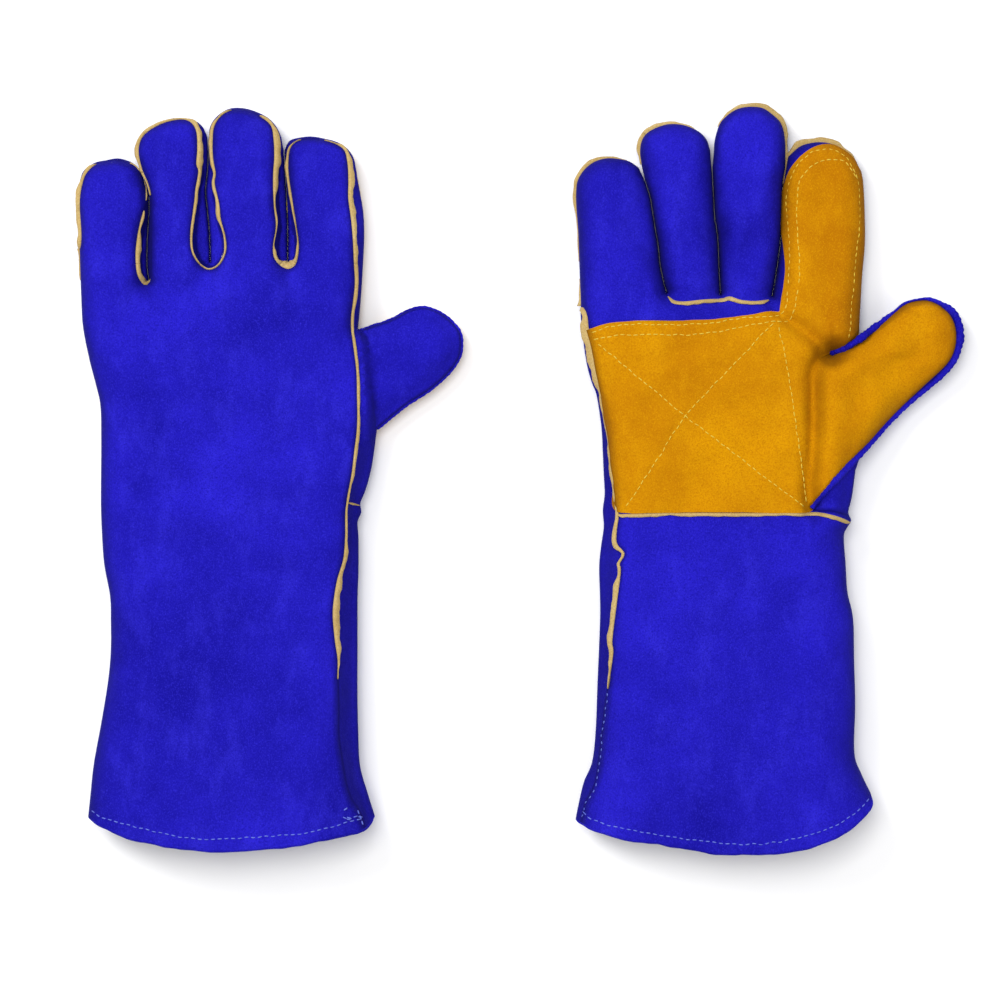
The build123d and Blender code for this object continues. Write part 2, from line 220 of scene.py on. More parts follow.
RIGHT["hem_row"] = [
    (-76.8, 20.8), (-69.7, 16.4), (-50.9, 12), (-32.1, 8.9), (-13.3, 6.4), (5.6, 4.5), (24.4, 5.1),
    (43.2, 8.9), (62, 15.2), (80, 27.7),
]

PAIR_Y = 203.75       # half the gloves' length: the pair's own origin is at its middle
WRIST = 183.0         # seam between palm and cuff front
SHEET = 1.3           # thickness of the suede
PATCH_LIFT = 1.4      # the left glove lies on its second layer, so it is raised by this much
HEM_TURN = 13.0       # width of the leather turned in at the hem
HEM_FOLD = 1.2        # the round of the fold at the hem, below the panels' own edge
FINGER_GAP = 0.44     # room between two fingers that lie side by side


def smooth_line(points, step=1.3):
    """Points at even steps along a smooth curve through the given points."""
    p = np.array(points, float)
    q = np.vstack([2 * p[0] - p[1], p, 2 * p[-1] - p[-2]])
    out = []
    for a, b, c, d in zip(q, q[1:], q[2:], q[3:]):
        count = max(1, int(round(np.linalg.norm(c - b) / step)))
        for t in np.arange(count) / count:
            t2 = t * t
            t3 = t2 * t
            bend = (2 * a - 5 * b + 4 * c - d) * t2
            turn = (3 * b - a - 3 * c + d) * t3
            out.append(0.5 * (2 * b + (c - a) * t + bend + turn))
    return np.array(out + [p[-1]])


def segment_distance(points, a, b):
    """Distance from each point to the nearest of the segments a-b."""
    batch = 1500
    out = np.empty(len(points))
    along = b - a
    squared = np.maximum((along * along).sum(1), 1e-12)
    for i in range(0, len(points), batch):
        p = points[i:i + batch, None, :]
        t = np.clip(((p - a) * along).sum(2) / squared, 0, 1)
        out[i:i + batch] = np.sqrt((((a + t[..., None] * along) - p) ** 2).sum(2).min(1))
    return out


def path_distance(points, path):
    """Distance from each point to a line of points."""
    path = np.asarray(path, float)
    return segment_distance(points, path[:-1], path[1:])


def inside(points, polygon):
    """True for each point inside the polygon."""
    poly = np.asarray(polygon, float)
    x0, y0 = poly.T
    x1, y1 = np.roll(poly, -1, 0).T
    batch = 4000
    hit = np.zeros(len(points), bool)
    for i in range(0, len(points), batch):
        x, y = points[i:i + batch, 0:1], points[i:i + batch, 1:2]
        span = (y0 > y) != (y1 > y)
        cross = x < (x1 - x0) * (y - y0) / np.where(y1 == y0, 1e-9, y1 - y0) + x0
        hit[i:i + batch] = (span & cross).sum(1) % 2 == 1
    return hit


def unevenness(points, size, seed):
    """A smooth random relief of about unit height, with bumps of the given size."""
    chance = np.random.default_rng(seed)
    total = np.zeros(len(points))
    for _ in range(18):
        angle, phase = chance.uniform(0, 2 * math.pi, 2)
        wave = 2 * math.pi / (size * chance.uniform(0.7, 1.6))
        total += np.sin((points[:, 0] * math.cos(angle) + points[:, 1] * math.sin(angle)) * wave + phase)
    return total / 4.2


def ease(v, low, high):
    """From 0 at low to 1 at high, level at both ends."""
    t = np.clip((v - low) / (high - low), 0, 1)
    return t * t * (3 - 2 * t)


def build_outline(g):
    """The glove's folded edge, with narrow gaps between the fingers, and the line of its hem."""
    half_gap = np.array([FINGER_GAP / 2, 0.0])
    parts = [smooth_line(g["up_side"] + g["little"])]
    for gap, finger in (("gap_1", "ring"), ("gap_2", "middle"), ("gap_3", "index")):
        line = smooth_line(g[gap])
        parts += [line - half_gap, line[::-1] + half_gap, smooth_line(g[finger])]
    if g is RIGHT:
        line = smooth_line(g["thumb_gap"])
        lift = np.array([-0.2, 0.3])
        parts += [line + lift, line[::-1] - lift]
    parts += [smooth_line(g["thumb"]), smooth_line(g["down_side"])]
    hem = smooth_line([g["down_side"][-1]] + [(x, y + HEM_FOLD) for x, y in g["hem"]] + [g["up_side"][0]])
    return np.vstack(parts), hem


def upper_seam(g):
    """The seam where the glove's upper panels meet the lower ones, as a fine closed line."""
    return smooth_line(g["upper"] + g["upper"][:1], 1.2)


for g in (LEFT, RIGHT):
    g["edge"], g["hem_line"] = build_outline(g)
    g["whole"] = np.vstack([g["edge"], g["hem_line"][1:-1]])
    g["seam"] = smooth_line(g["upper"] + g["upper"][:1], 2.0)
    g["rows"] = [smooth_line(row, 1.2) for row in [g["hem_row"]] + (PATCH_ROWS if g is RIGHT else [])]

# Soft folds and dents of the worn leather: points along each, its depth and its width
LEFT["folds"] = [
    ([(-44, 306), (-52, 292), (-56, 275)], 0.9, 5.0),
    ([(-7, 314), (-9, 300), (-6, 284)], 1.1, 6.0),
    ([(36, 315), (40, 300), (38, 282)], 1.0, 6.0),
    ([(-39, 307), (-24, 300), (-9, 312)], 0.8, 7.0),
    ([(60, 196), (30, 190), (-10, 196)], 0.7, 8.0),
    ([(66, 150), (40, 146), (10, 152)], 0.6, 9.0),
    ([(-64, 170), (-40, 160), (-20, 166)], 0.6, 9.0),
    ([(104, 284), (98, 270), (94, 252)], 0.8, 7.0),
    ([(-7.5, 352), (-7, 332), (-12.5, 322)], 0.9, 1.5),
    ([(-7, 332), (-1.5, 323)], 0.9, 1.5),
    ([(90, 280), (88, 262), (90, 244)], 0.7, 6.0),
]
RIGHT["folds"] = [
    ([(30, 292), (44, 284), (60, 272)], 1.3, 4.0),
    ([(34, 288), (48, 277), (56, 268)], 0.9, 3.5),
    ([(-28, 282), (-18, 258), (6, 230), (34, 205)], 0.8, 8.0),
    ([(-30, 300), (-10, 296), (26, 298)], 0.9, 5.0),
    ([(99, 296), (106, 292.5), (116, 292), (124, 296)], 0.6, 1.6),
    ([(-20, 345), (-12, 342), (-6, 338)], 0.9, 6.0),
    ([(20, 330), (12, 322), (4, 312)], 0.8, 6.0),
    ([(-50, 340), (-42, 330), (-38, 318)], 0.9, 6.0),
    ([(62, 60), (30, 70), (-20, 60)], 0.8, 14.0),
    ([(60, 140), (20, 134), (-30, 142)], 0.7, 12.0),
]


# How thick the glove lies at places up its length, and how far in from its edge each side rounds off
THICKNESS = [(0, 49), (60, 44), (120, 38), (WRIST, 34), (250, 31.5), (300, 29.5), (330, 27.5), (405, 25)]
ROUND_TOP = [(0, 42), (70, 32), (130, 22), (190, 17), (290, 15.5), (330, 14)]
ROUND_LOW = [(0, 26), (70, 20), (130, 14), (190, 10)]
FOLD_SHARE = 0.42     # the folded edge lies at this share of the thickness
LEFT["thumb_thick"] = 23.5
RIGHT["thumb_thick"] = 25.5


def glove_heights(g, points):
    """Heights of the glove's upper and lower side at points, and the distance from each to its edge."""
    x, y = points.T
    edge = g["edge"]
    d = segment_distance(points, edge[:-1], edge[1:])
    thick = np.interp(y, *zip(*THICKNESS))
    round_top = np.interp(y, *zip(*ROUND_TOP))
    round_low = np.interp(y, *zip(*ROUND_LOW))
    crease = np.array(g["thumb_crease"], float)
    past = x - np.interp(y, crease[::-1, 1], crease[::-1, 0])
    if g is LEFT:
        on_thumb = ease(past, -0.5, 2.5) * ease(y, 222, 230) * ease(-y, -302, -290)
    else:
        on_thumb = ease(past, 30, 50) * ease(y, 195, 215) * ease(-y, -308, -290)
    thick = thick * (1 - on_thumb) + g["thumb_thick"] * on_thumb
    middle = FOLD_SHARE * thick

    def bulge_at(depth, reach):
        u = np.clip(1 - depth / reach, 0, 1)
        return np.sqrt(np.maximum(1 - u * u, 0))

    full = bulge_at(d, round_top)
    top = middle + (thick - middle) * full
    low = middle - middle * bulge_at(d, round_low)
    seed = 11 if g is LEFT else 23
    relief = (0.75 * unevenness(points, 46, seed) + 0.4 * unevenness(points, 20, seed + 1)
              + 0.14 * unevenness(points, 8, seed + 2))
    top = top + relief * full * ease(d, 0, 8)
    low = low + np.abs(unevenness(points, 30, seed + 3)) * 0.35 * ease(d, 2, 12)
    for path, depth, width in g["folds"]:
        away = path_distance(points, smooth_line(path, 3))
        dent = 1.6 * depth * np.exp(-(away / width) ** 2)
        top = top - dent + 0.6 * depth * np.exp(-((away - 1.9 * width) / width) ** 2)
    # the thumb is set in along a narrow step on the back, and along a soft hollow on the palm
    away = path_distance(points, smooth_line(g["thumb_crease"], 3))
    if g is LEFT:
        top = top - 4.5 * np.exp(-(away / 1.6) ** 2) * ease(d, 0, 2)
    else:
        depth = 6.4 * np.exp(-(away / 4.6) ** 2)
        rise = 3.2 * np.exp(-((away - 12) / 8) ** 2) * (past > 0)
        top = top - depth + rise
    # past the welted seam the next panel falls away: a little at the sides, steeply between the fingers
    if g is LEFT:
        pocket = (y > 300) & (x < 44) & (x > -48)
        fall = np.where(pocket, 0.72 * (top - middle), 2.4 * ease(d, 0, 4))
    else:
        fall = np.where((x > 40) & (y > 180) & (y < 230), 3.5, 1.6) * ease(d, 0, 4)
    past_seam = segment_distance(points, g["seam"][:-1], g["seam"][1:])
    outside = ~inside(points, g["seam"])
    # the side panel runs straight down from the seam to the folded edge
    if g is LEFT:
        straight = 0.85 * (x > 55) * np.maximum(ease(-y, -226, -212), ease(y, 298, 308))
    else:
        straight = 0.85 * (x < -50) * ease(-y, -300, -288)
    panel = d + past_seam
    sag = (thick - middle) * (full - bulge_at(panel, round_top) * d / np.maximum(panel, 1e-6))
    top = top - (fall * ease(past_seam, 0, 2.2) + straight * np.maximum(sag, 0)) * outside
    raised = PATCH_LIFT if g is LEFT else 0.0
    return top + raised, np.maximum(low, 0.0) + raised, d


def cut_pattern(g, spacing, near_seams):
    """Triangles over the pattern that follow the outline, the seams and the cuts between the pieces."""
    lines = [np.vstack([g["whole"], g["whole"][:1]]), upper_seam(g)]
    lines.append(np.array([(x, g["split"]) for x in np.arange(-92, 93, 1.5)]))
    cut = g["thumb_blend"][0]
    lines.append(np.array([(cut, y) for y in np.arange(205, 304, 1.5)]))
    lines.append(np.array([(x, WRIST) for x in np.arange(-90, 91, 1.5)]))
    if near_seams:
        lines.append(smooth_line(PATCH + PATCH[:1], 1.2))
        lines.append(g["hem_line"] + np.array([0, HEM_TURN]))
        lines.append(smooth_line(g["thumb_crease"], 1.2))
        lines += g["rows"]
    fixed = np.vstack(lines)
    edges = []
    start = 0
    for line in lines:
        edges += [(start + i, start + i + 1) for i in range(len(line) - 1)]
        start += len(line)
    rings = []
    if near_seams:
        for line in [lines[0], lines[1], lines[5]]:
            tangent = np.gradient(line, axis=0)
            side = np.stack([-tangent[:, 1], tangent[:, 0]], 1)
            side /= np.maximum(np.linalg.norm(side, axis=1, keepdims=True), 1e-9)
            for off in (0.8, -0.8, 2.0, -2.0, 3.6, -3.6):
                rings.append(line + off * side)
    low, high = g["whole"].min(0) - 1, g["whole"].max(0) + 1
    rows = []
    for k, y in enumerate(np.arange(low[1], high[1], spacing * 0.866)):
        xs = np.arange(low[0] + (k % 2) * spacing / 2, high[0], spacing)
        rows.append(np.stack([xs, np.full(len(xs), y)], 1))
    kept = [tuple(p) for p in fixed]
    groups = [(np.vstack(rings), 0.62)] if rings else []
    groups.append((np.vstack(rows), 0.62 * spacing))
    for group, room in groups:
        tree = KDTree(len(kept))
        for i, p in enumerate(kept):
            tree.insert((p[0], p[1], 0), i)
        tree.balance()
        group = group[inside(group, g["whole"])]
        taken = {}
        for p in group:
            if tree.find((p[0], p[1], 0))[2] < room:
                continue
            cell = (int(p[0] / room), int(p[1] / room))
            around = [(cell[0] + i, cell[1] + j) for i in (-1, 0, 1) for j in (-1, 0, 1)]
            near = [q for place in around for q in taken.get(place, ())]
            if any((p[0] - q[0]) ** 2 + (p[1] - q[1]) ** 2 < room * room for q in near):
                continue
            taken.setdefault(cell, []).append(p)
        kept += [tuple(q) for cell in taken.values() for q in cell]
    result = delaunay_2d_cdt([Vector(p) for p in kept], edges, [], 0, 1e-4)
    points = np.array([tuple(v) for v in result[0]])
    tris = np.array([f for f in result[2] if len(f) == 3])
    middles = points[tris].mean(1)
    tris = tris[inside(middles, g["whole"])]
    used = np.unique(tris)
    index = np.full(len(points), -1)
    index[used] = np.arange(len(used))
    points, tris = points[used], index[tris]
    a, b, c = (points[tris[:, i]] for i in range(3))
    flip = (b[:, 0] - a[:, 0]) * (c[:, 1] - a[:, 1]) - (b[:, 1] - a[:, 1]) * (c[:, 0] - a[:, 0]) < 0
    tris[flip] = tris[flip][:, ::-1]
    return points, tris


def glove_shell(g, spacing, near_seams):
    """The glove's whole outside: upper and lower side, joined along the folded edge and open at the hem."""
    points, tris = cut_pattern(g, spacing, near_seams)
    top, low, d = glove_heights(g, points)
    seam = upper_seam(g)
    if near_seams:
        groove = np.exp(-(path_distance(points, seam) / 1.2) ** 2)
        depth = np.where(points[:, 1] < 94, 2.4, 1.3)
        top = top - depth * groove * ease(d, 0.0, 1.5)
        for row in g["rows"]:
            top = top - 0.45 * np.exp(-(path_distance(points, row) / 0.9) ** 2)
    n = len(points)
    joined = d < 1e-3
    rim = path_distance(points, g["hem_line"]) < 1e-3
    joined &= ~rim | (np.abs(points[:, 1] - g["up_side"][0][1]) < 0.01)
    low_index = np.where(joined, np.arange(n), n + np.arange(n))
    verts = np.vstack([np.column_stack([points, top]), np.column_stack([points, low])])
    faces = np.vstack([tris, low_index[tris][:, ::-1]])
    middles = points[tris].mean(1)
    normal = np.zeros_like(verts)
    cross = np.cross(verts[faces[:, 1]] - verts[faces[:, 0]], verts[faces[:, 2]] - verts[faces[:, 0]])
    for k in range(3):
        np.add.at(normal, faces[:, k], cross)
    normal /= np.maximum(np.linalg.norm(normal, axis=1, keepdims=True), 1e-9)
    # painted shade: the colour is darkened where the leather turns down to an edge, and most in the seams,
    # where less light reaches
    shade = 0.75 * ease(1 - np.abs(normal[:, 2]), 0.1, 0.75)
    if near_seams:
        painted_seam_shade = 0.95 * np.exp(-(path_distance(points, seam) / 1.0) ** 2) * ease(d, 0.0, 1.5)
        shade[:n] = np.maximum(shade[:n], painted_seam_shade)
    return {
        "verts": verts, "faces": faces, "normal": normal, "shade": shade,
        "middle": np.vstack([middles, middles]),
        "is_top": np.repeat([True, False], len(tris)),
        "in_upper": np.tile(inside(middles, seam), 2),
    }


def finger_of(g, middles):
    """Which body each triangle belongs to: hand, little, ring, middle, index or thumb."""
    x, y = middles.T
    body = np.full(len(middles), "hand", dtype="<U8")
    lines = [np.array(g[k], float) for k in ("gap_1", "gap_2", "gap_3")]
    past = [x > np.interp(y, line[::-1, 1], line[::-1, 0]) for line in lines]
    up = y > g["split"]
    count = sum(p.astype(int) for p in past)
    for i, name in enumerate(("little", "ring", "middle", "index")):
        body[up & (count == i)] = name
    body[(x > g["thumb_blend"][0]) & (y > 205) & (y < 303)] = "thumb"
    return body


def cut_panel(name, g, shell, chosen, thickness, material, lift=0.0):
    """One panel of real thickness, cut out of a shell and shaded as a part of it, so that no cut shows."""
    faces = shell["faces"][chosen]
    used = np.unique(faces)
    index = np.full(len(shell["verts"]), -1)
    index[used] = np.arange(len(used))
    faces = index[faces]
    normal = shell["normal"][used]
    outer = shell["verts"][used] + normal * np.broadcast_to(lift, len(shell["verts"]))[used, None]
    inner = outer - normal * thickness
    n = len(used)
    directed = np.vstack([faces[:, [0, 1]], faces[:, [1, 2]], faces[:, [2, 0]]])
    keys = {(a, b) for a, b in directed.tolist()}
    rim = [(a, b) for a, b in keys if (b, a) not in keys]
    verts = np.vstack([outer, inner])
    verts = (verts + np.array([g["x"], -PAIR_Y, 0])) / 1000
    polys = faces.tolist() + (faces[:, ::-1] + n).tolist() + [(b, a, a + n, b + n) for a, b in sorted(rim)]
    mesh = bpy.data.meshes.new(name)
    mesh.from_pydata(verts.tolist(), [], polys)
    mesh.update()
    mesh.shade_smooth()
    # painted shade of edges and seams, carried on to the panel as an attribute
    shade = mesh.attributes.new("shade", "FLOAT", "POINT")
    shade.data.foreach_set("value", np.tile(shell["shade"][used], 2).astype(np.float32))
    loops = []
    both = np.vstack([normal, -normal])
    for k, poly in enumerate(polys):
        if k < 2 * len(faces):
            loops += both[list(poly)].tolist()
        else:
            face_normal = mesh.polygons[k].normal
            loops += [tuple(face_normal)] * 4
    mesh.normals_split_custom_set(loops)
    obj = bpy.data.objects.new(name, mesh)
    bpy.context.scene.collection.objects.link(obj)
    mesh.materials.append(material)
    return obj


def sew_on(obj, g, body):
    """The piece rides on the hand; a finger or thumb piece only has its placement baked into its mesh."""
    side = g["name"]
    if body == "hand":
        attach(obj, f"{side}_hand")
        return
    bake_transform(obj)


def napped(name, base, pale, deep, nap=0.00035, sheen=0.35, mottle=0.5):
    m = bpy.data.materials.new(name)
    m.use_nodes = True
    nt = m.node_tree
    shader = nt.nodes["Principled BSDF"]
    shader.inputs["Roughness"].default_value = 0.93
    shader.inputs["Specular IOR Level"].default_value = 0.05
    shader.inputs["Sheen Weight"].default_value = sheen
    shader.inputs["Sheen Roughness"].default_value = 0.45
    shader.inputs["Sheen Tint"].default_value = (*[min(1, c * 1.5 + 0.05) for c in pale], 1)
    place = nt.nodes.new("ShaderNodeTexCoord")

    def noise(scale, detail, rough=0.6, stretch=None):
        n = nt.nodes.new("ShaderNodeTexNoise")
        n.inputs["Scale"].default_value = scale
        n.inputs["Detail"].default_value = detail
        n.inputs["Roughness"].default_value = rough
        source = place.outputs["Object"]
        if stretch:
            mapping = nt.nodes.new("ShaderNodeMapping")
            mapping.inputs["Scale"].default_value = stretch
            nt.links.new(source, mapping.inputs["Vector"])
            source = mapping.outputs["Vector"]
        nt.links.new(source, n.inputs["Vector"])
        return n.outputs["Fac"]

    def blend_colour(factor, a, b, low, high):
        spread = nt.nodes.new("ShaderNodeMapRange")
        spread.inputs["From Min"].default_value = low
        spread.inputs["From Max"].default_value = high
        nt.links.new(factor, spread.inputs["Value"])
        mix = nt.nodes.new("ShaderNodeMix")
        mix.data_type = "RGBA"
        nt.links.new(spread.outputs["Result"], mix.inputs["Factor"])
        for socket, value in ((mix.inputs["A"], a), (mix.inputs["B"], b)):
            if isinstance(value, tuple):
                socket.default_value = (*value, 1)
            else:
                nt.links.new(value, socket)
        return mix.outputs["Result"]

    span = 0.5 - 0.32 * mottle
    cloud = blend_colour(noise(16, 4), deep, base, span, 1 - span)
    brushed = blend_colour(noise(75, 5, 0.65, (1.0, 0.45, 1.0)), cloud, pale, 0.5, 1.15)
    speck = blend_colour(noise(1100, 3, 0.6), brushed, deep, 0.44, 0.76)
    fleck = blend_colour(noise(1500, 3, 0.65, (1.0, 0.7, 1.0)), speck, pale, 0.5, 0.95)
    # painted shade: the "shade" attribute darkens the colour toward a dark tone at edges and in seams
    shade = nt.nodes.new("ShaderNodeAttribute")
    shade.attribute_name = "shade"
    shaded = blend_colour(shade.outputs["Fac"], fleck, tuple(0.4 * c for c in deep), 0.0, 1.0)
    nt.links.new(shaded, shader.inputs["Base Color"])
    grain = nt.nodes.new("ShaderNodeBump")
    grain.inputs["Strength"].default_value = 0.6
    grain.inputs["Distance"].default_value = nap
    nt.links.new(noise(1100, 3, 0.7), grain.inputs["Height"])
    pile = nt.nodes.new("ShaderNodeBump")
    pile.inputs["Strength"].default_value = 0.5
    pile.inputs["Distance"].default_value = nap * 2.5
    nt.links.new(noise(260, 4, 0.6), pile.inputs["Height"])
    nt.links.new(grain.outputs["Normal"], pile.inputs["Normal"])
    nt.links.new(pile.outputs["Normal"], shader.inputs["Normal"])
    return m


blue = napped("blue suede", (0.015, 0.01, 0.43), (0.034, 0.028, 0.62), (0.006, 0.004, 0.24), sheen=0.08)
golden = napped("golden suede", (0.53, 0.23, 0.0005), (0.64, 0.31, 0.002), (0.37, 0.13, 0.0005),
                sheen=0.08)
DIGITS = ("little", "ring", "middle", "index", "thumb")
# The blue palm and the golden thumb front meet along the thumb's root
THUMB_ROOT = [
    (61, 271.4), (52.5, 266.5), (49.5, 258.5), (49, 239), (48.5, 218), (46.5, 197.5), (48.5, 185),
    (59.5, 199.5), (73.5, 214), (84.5, 226), (90, 232), (90, 300), (84.5, 285.5), (74.5, 277), (66, 272.3),
]
spacing = 2.3
for g in (LEFT, RIGHT):
    side = g["name"]
    shell = glove_shell(g, spacing, True)
    g["shell"] = shell
    body = finger_of(g, shell["middle"])
    g["face_body"] = body
    x, y = shell["middle"].T
    upper = shell["is_top"] & shell["in_upper"]
    back = upper if g is LEFT else ~upper
    thumb_back = shell["is_top"] if g is LEFT else ~upper
    below_wrist = y < WRIST
    g["in_patch"] = inside(shell["middle"], smooth_line(PATCH + PATCH[:1], 1.2))
    if g is LEFT:
        root = ~shell["is_top"] & inside(shell["middle"], THUMB_ROOT)
    else:
        root = upper & ~g["in_patch"] & (x > 44) & (y > WRIST) & (y < 300) & ((x < 47.5) | (y > 187.5))
    hand_panels = [
        ("back", back),
        ("palm", ~back & ~below_wrist & ~root),
        ("cuff_front", ~back & below_wrist),
    ]
    for panel, where in hand_panels:
        piece = cut_panel(f"{side}_{panel}_leather", g, shell, where & (body == "hand"), SHEET, blue)
        sew_on(piece, g, "hand")
        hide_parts(f"{side}_{panel}")
    piece = cut_panel(f"{side}_thumb_root", g, shell, root & (body == "hand"), SHEET, golden)
    sew_on(piece, g, "hand")
    for digit in DIGITS:
        digit_back = thumb_back if digit == "thumb" else back
        for panel, where in (("back", digit_back), ("front", ~digit_back)):
            is_golden = digit == "thumb" and panel == "front"
            material, slot = (golden, "golden_suede") if is_golden else (blue, "blue_suede")
            piece = cut_panel(f"{side}_{digit}_{panel}_leather", g, shell, where & (body == digit), SHEET,
                              material)
            sew_on(piece, g, digit)
            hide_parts(f"{side}_{digit}_{panel}")

# ----------------------------------------------------------------------------------------------------------
# Golden second layer.  A patch of the same suede is glued over the palm, and a strip of it runs on up the
# front of the index finger; both are sewn down all round, and the patch across the palm too.
# ----------------------------------------------------------------------------------------------------------

def patch_lift(g, points):
    """How far the second layer stands over the first; it runs out at the fold beside the right thumb."""
    full_lift = SHEET + 0.01
    if g is LEFT:
        return np.full(len(points), 0.04 + full_lift)
    away = path_distance(points, smooth_line(g["thumb_crease"][1:], 3))
    return 0.04 + full_lift * ease(away, 0, 8)


for g in (LEFT, RIGHT):
    shell = g["shell"]
    patch = g["in_patch"] & (shell["is_top"] == (g is RIGHT)) & (shell["middle"][:, 1] > WRIST)
    if g is LEFT:
        patch &= path_distance(shell["middle"], g["edge"]) > 2.2
    raised = patch_lift(g, shell["verts"][:, :2])
    for digit, node in (("hand", "palm_patch"), ("index", "index_patch")):
        where = patch & (g["face_body"] == digit)
        piece = cut_panel(f"{g['name']}_{node}_leather", g, shell, where, SHEET, golden,
                          lift=raised)
        sew_on(piece, g, digit)
        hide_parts(f"{g['name']}_{node}")

# ----------------------------------------------------------------------------------------------------------
# Linings.  A fleece bag with four fingers and a thumb lines the hand, and a canvas tube lines the cuff;
# both hang loose inside the leather and are caught in its seams.
# ----------------------------------------------------------------------------------------------------------
fleece = napped("cotton fleece", (0.66, 0.63, 0.55), (0.75, 0.72, 0.65), (0.5, 0.47, 0.4), 0.0008, 0.2)
canvas = napped("cotton canvas", (0.6, 0.55, 0.43), (0.7, 0.66, 0.54), (0.46, 0.41, 0.3), 0.0003, 0.05)
FLEECE = 1.5    # thicknesses of the two cloths
CANVAS = 0.8
for g in (LEFT, RIGHT):
    inner = glove_shell(g, 6.0, False)
    # above the wrist the fleece is pressed together, so it lies well under the leather
    height = inner["verts"][:, 2].reshape(2, -1)
    pressed = 1 - 0.4 * ease(inner["verts"][:, 1].reshape(2, -1), 176, 196)
    inner["verts"][:, 2] = (height.mean(0) + (height - height.mean(0)) * pressed).ravel()
    body = finger_of(g, inner["middle"])
    below_wrist = inner["middle"][:, 1] < WRIST
    clear_of_hem = path_distance(inner["middle"], g["hem_line"]) > HEM_TURN - 3.5
    pieces = [
        ("hand_lining", (body == "hand") & ~below_wrist, "hand"),
        ("cuff_lining", (body == "hand") & below_wrist & clear_of_hem, "hand"),
    ]
    pieces += [(f"{digit}_lining", body == digit, digit) for digit in DIGITS]
    for node, where, digit in pieces:
        material, slot, thick, room = fleece, "fleece_lining", FLEECE, 1.6
        if node == "cuff_lining":
            material, slot, thick, room = canvas, "canvas_lining", CANVAS, 0.1
        piece = cut_panel(f"{g['name']}_{node}_cloth", g, inner, where, thick, material,
                          lift=-SHEET - room)
        sew_on(piece, g, digit)
        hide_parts(f"{g['name']}_{node}")

# ----------------------------------------------------------------------------------------------------------
# Hem.  The leather of back and cuff front is folded in over the canvas at the open end and sewn down; the
# fold is a round edge as thick as the two layers.
# ----------------------------------------------------------------------------------------------------------


def sweep(rings, closed=True):
    """Vertices and quads over a row of rings of points; closed rings are capped at the row's two ends."""
    rings = np.asarray(rings, float)
    count, around = rings.shape[:2]
    faces = []
    for i in range(count - 1):
        for j in range(around if closed else around - 1):
            k = (j + 1) % around
            faces.append((i * around + j, i * around + k, (i + 1) * around + k, (i + 1) * around + j))
    if closed:
        faces.append(tuple(range(around))[::-1])
        faces.append(tuple((count - 1) * around + j for j in range(around)))
    return rings.reshape(-1, 3), faces


def strip_piece(name, g, parts, material):
    """One piece made of several swept parts."""
    verts, faces, base = [], [], 0
    for v, f in parts:
        verts.append(v)
        faces += [tuple(base + i for i in face) for face in f]
        base += len(v)
    mesh = bpy.data.meshes.new(name)
    mesh.from_pydata(((np.vstack(verts) + np.array([g["x"], -PAIR_Y, 0])) / 1000).tolist(), [], faces)
    mesh.update()
    mesh.shade_smooth()
    obj = bpy.data.objects.new(name, mesh)
    bpy.context.scene.collection.objects.link(obj)
    mesh.materials.append(material)
    return obj


for g in (LEFT, RIGHT):
    side = g["name"]
    shell = g["shell"]
    hem = g["hem_line"][::-1]
    turned = shell["middle"][:, 1] < np.interp(shell["middle"][:, 0], hem[:, 0], hem[:, 1]) + HEM_TURN
    piece = cut_panel(f"{side}_hem_turn_leather", g, shell, turned & (g["face_body"] == "hand"), 1.2, blue,
                      lift=-SHEET - 0.9)
    sew_on(piece, g, "hand")
    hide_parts(f"{side}_hem_turn")
    # the fold runs along the upper panel's edge and back along the lower one's
    rim = np.where(path_distance(shell["verts"][:, :2], g["hem_line"]) < 1e-3)[0]
    half = len(shell["verts"]) // 2
    parts = []
    for chosen in (rim[rim < half], rim[rim >= half]):
        order = chosen[np.argsort(shell["verts"][chosen, 0])]
        p, n = shell["verts"][order], shell["normal"][order]
        along = np.gradient(p, axis=0)
        away = np.cross(along, n)
        away[away[:, 1] > 0] *= -1
        away /= np.maximum(np.linalg.norm(away, axis=1, keepdims=True), 1e-9)
        radius = 1.75
        reach = radius * 0.8 + 0.25 * unevenness(p[:, :2], 14, 5)
        arc = np.linspace(0, math.pi, 7)
        rings = [
            [p[i] - n[i] * (radius - radius * math.cos(a)) + away[i] * reach[i] * math.sin(a) for a in arc]
            for i in range(len(p))
        ]
        parts.append(sweep(rings, closed=False))
    piece = strip_piece(f"{side}_hem_fold", g, parts, blue)
    sew_on(piece, g, "hand")

# ----------------------------------------------------------------------------------------------------------
# Welts.  A strip of undyed leather is caught in each seam so that the thread does not wear; it stands out
# of the seam by a width that wanders from nothing to 5 mm.
# ----------------------------------------------------------------------------------------------------------
beige = napped("welt leather", (0.53, 0.385, 0.155), (0.62, 0.49, 0.26), (0.34, 0.22, 0.07),
               nap=0.0002, sheen=0.1, mottle=0.8)
WELT = 1.15    # thickness of the strip
